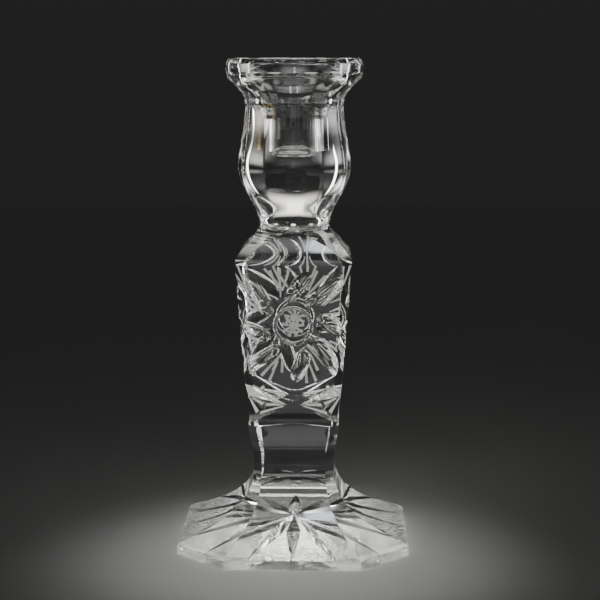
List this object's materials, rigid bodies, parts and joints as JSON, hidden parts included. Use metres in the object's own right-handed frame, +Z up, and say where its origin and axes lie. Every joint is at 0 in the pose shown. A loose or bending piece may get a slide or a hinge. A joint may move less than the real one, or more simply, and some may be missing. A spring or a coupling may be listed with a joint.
{
  "type": "glass candlestick",
  "caption": "Clear glass candlestick with a star-cut square foot, tapering square stem with pinwheel faces, and a panelled candle cup.",
  "frame": {"origin": "centre of the base plane, on the table", "axes": "+Z up along the candle's axis, -Y towards the front face of the foot, +X to the right seen from the front"},
  "size_m": [0.099, 0.099, 0.21],
  "materials": {
    "foot_glass": "polished, clear lead crystal",
    "stem_glass": "polished, with frosted fine rays",
    "cup_glass": "polished, clear lead crystal",
    "label_foil": "satin gold foil, plain, no lettering"
  },
  "bodies": {
    "root": {"foot": "foot_glass", "stem": "stem_glass", "candle_cup": "cup_glass", "maker_label": "label_foil"}
  },
  "joints": []
}
